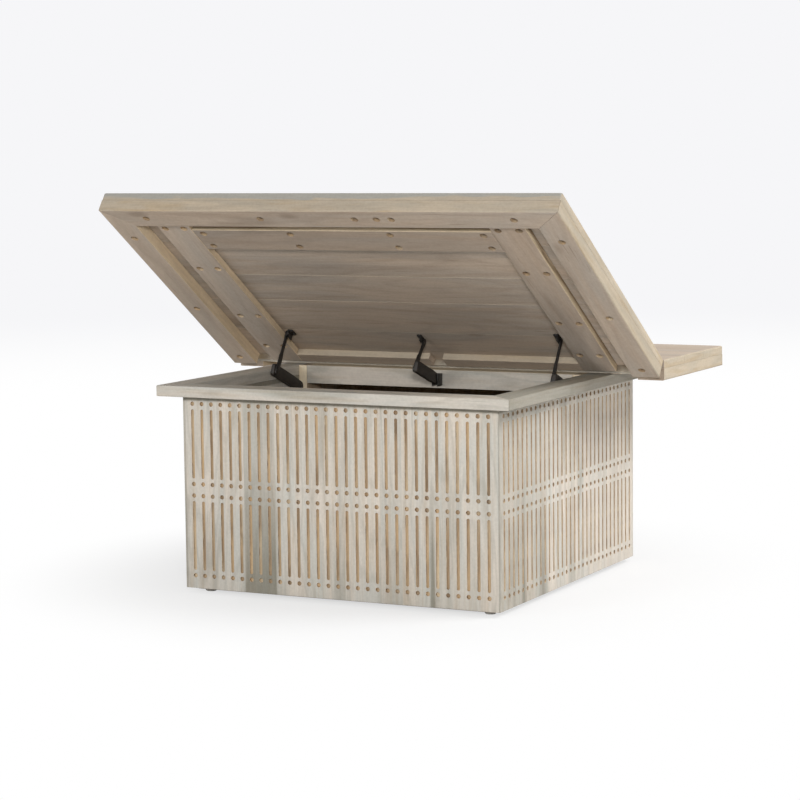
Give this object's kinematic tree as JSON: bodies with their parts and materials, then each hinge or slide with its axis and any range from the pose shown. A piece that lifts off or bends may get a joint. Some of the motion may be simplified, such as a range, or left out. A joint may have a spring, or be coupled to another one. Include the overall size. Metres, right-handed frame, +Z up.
{
  "type": "coffee table",
  "caption": "Square storage coffee table in limewashed wood: fluted box on glides, overhanging top, front lid hinged to a fixed rear top and held open by folding stays.",
  "frame": {"origin": "on the floor under the middle of the bounding box, with the lid at its rest angle", "axes": "+X to the right along the hinge line, +Y from the lid's front edge towards the fixed rear top, +Z up"},
  "size_m": [1.016, 0.9292, 0.8256],
  "materials": {
    "limewashed_wood": "limewashed, matt",
    "raw_wood": "sawn, unfinished",
    "plywood": "sanded",
    "black_steel": "black, satin",
    "hinge_steel": "antique plated",
    "glide_plastic": "moulded, matt"
  },
  "bodies": {
    "base": {"wall_front": "limewashed_wood", "wall_back": "limewashed_wood", "wall_left": "limewashed_wood", "wall_right": "limewashed_wood", "rim_front": "limewashed_wood", "rim_back": "limewashed_wood", "rim_left": "limewashed_wood", "rim_right": "limewashed_wood", "bridge_rail": "limewashed_wood", "rear_plank_1": "limewashed_wood", "rear_plank_2": "limewashed_wood", "rear_plank_3": "limewashed_wood", "rear_border_back": "limewashed_wood", "rear_border_left": "limewashed_wood", "rear_border_right": "limewashed_wood", "rear_batten_back": "limewashed_wood", "rear_batten_hinge": "limewashed_wood", "rear_batten_left": "limewashed_wood", "rear_batten_right": "limewashed_wood", "corner_post_front_left": "raw_wood", "corner_post_front_right": "raw_wood", "corner_post_back_left": "raw_wood", "corner_post_back_right": "raw_wood", "bottom_cleat_front": "raw_wood", "bottom_cleat_back": "raw_wood", "bridge_post_left": "raw_wood", "bridge_post_right": "raw_wood", "bottom_panel": "plywood", "glide_front_left": "glide_plastic", "glide_front_right": "glide_plastic", "glide_back_left": "glide_plastic", "glide_back_right": "glide_plastic", "hinge_leaf_fixed": "hinge_steel", "hinge_pin": "hinge_steel", "stay_left_foot": "black_steel", "stay_middle_foot": "black_steel", "stay_right_foot": "black_steel"},
    "lid": {"lid_plank_1": "limewashed_wood", "lid_plank_2": "limewashed_wood", "lid_plank_3": "limewashed_wood", "lid_plank_4": "limewashed_wood", "lid_plank_5": "limewashed_wood", "lid_border_front": "limewashed_wood", "lid_border_left": "limewashed_wood", "lid_border_right": "limewashed_wood", "lid_batten_front": "limewashed_wood", "lid_batten_hinge_left": "limewashed_wood", "lid_batten_hinge_right": "limewashed_wood", "lid_batten_left": "limewashed_wood", "lid_batten_right": "limewashed_wood", "hinge_leaf_lid": "hinge_steel", "stay_left_bracket": "black_steel", "stay_middle_bracket": "black_steel", "stay_right_bracket": "black_steel"},
    "link_left": {"stay_left_link": "black_steel"},
    "arm_left": {"stay_left_arm": "black_steel"},
    "link_middle": {"stay_middle_link": "black_steel"},
    "arm_middle": {"stay_middle_arm": "black_steel"},
    "link_right": {"stay_right_link": "black_steel"},
    "arm_right": {"stay_right_arm": "black_steel"}
  },
  "joints": [
    {"name": "lid_hinge", "type": "hinge", "parent": "base", "child": "lid", "pos_m": [0, 0.09508, 0.463], "axis": [-1, 0, 0], "range_deg": [-33.8, 41.2]},
    {"name": "link_left_pivot", "type": "hinge", "parent": "base", "child": "link_left", "pos_m": [-0.3238, 0.04908, 0.387], "axis": [-1, 0, 0], "range_deg": [-33.8, 41.2]},
    {"name": "arm_left_pivot", "type": "hinge", "parent": "lid", "child": "arm_left", "pos_m": [-0.3238, -0.0137, 0.50814], "axis": [-1, 0, 0], "range_deg": [-41.2, 33.8]},
    {"name": "link_middle_pivot", "type": "hinge", "parent": "base", "child": "link_middle", "pos_m": [0.002, 0.04908, 0.413], "axis": [-1, 0, 0], "range_deg": [-33.8, 41.2]},
    {"name": "arm_middle_pivot", "type": "hinge", "parent": "lid", "child": "arm_middle", "pos_m": [0.002, 0.00209, 0.49757], "axis": [-1, 0, 0], "range_deg": [-41.2, 33.8]},
    {"name": "link_right_pivot", "type": "hinge", "parent": "base", "child": "link_right", "pos_m": [0.3238, 0.04908, 0.387], "axis": [-1, 0, 0], "range_deg": [-33.8, 41.2]},
    {"name": "arm_right_pivot", "type": "hinge", "parent": "lid", "child": "arm_right", "pos_m": [0.3238, -0.0137, 0.50814], "axis": [-1, 0, 0], "range_deg": [-41.2, 33.8]}
  ],
  "couplings": [
    {"joint": "link_left_pivot", "follows": "lid_hinge", "ratio": 1},
    {"joint": "arm_left_pivot", "follows": "lid_hinge", "ratio": -1},
    {"joint": "link_middle_pivot", "follows": "lid_hinge", "ratio": 1},
    {"joint": "arm_middle_pivot", "follows": "lid_hinge", "ratio": -1},
    {"joint": "link_right_pivot", "follows": "lid_hinge", "ratio": 1},
    {"joint": "arm_right_pivot", "follows": "lid_hinge", "ratio": -1}
  ]
}
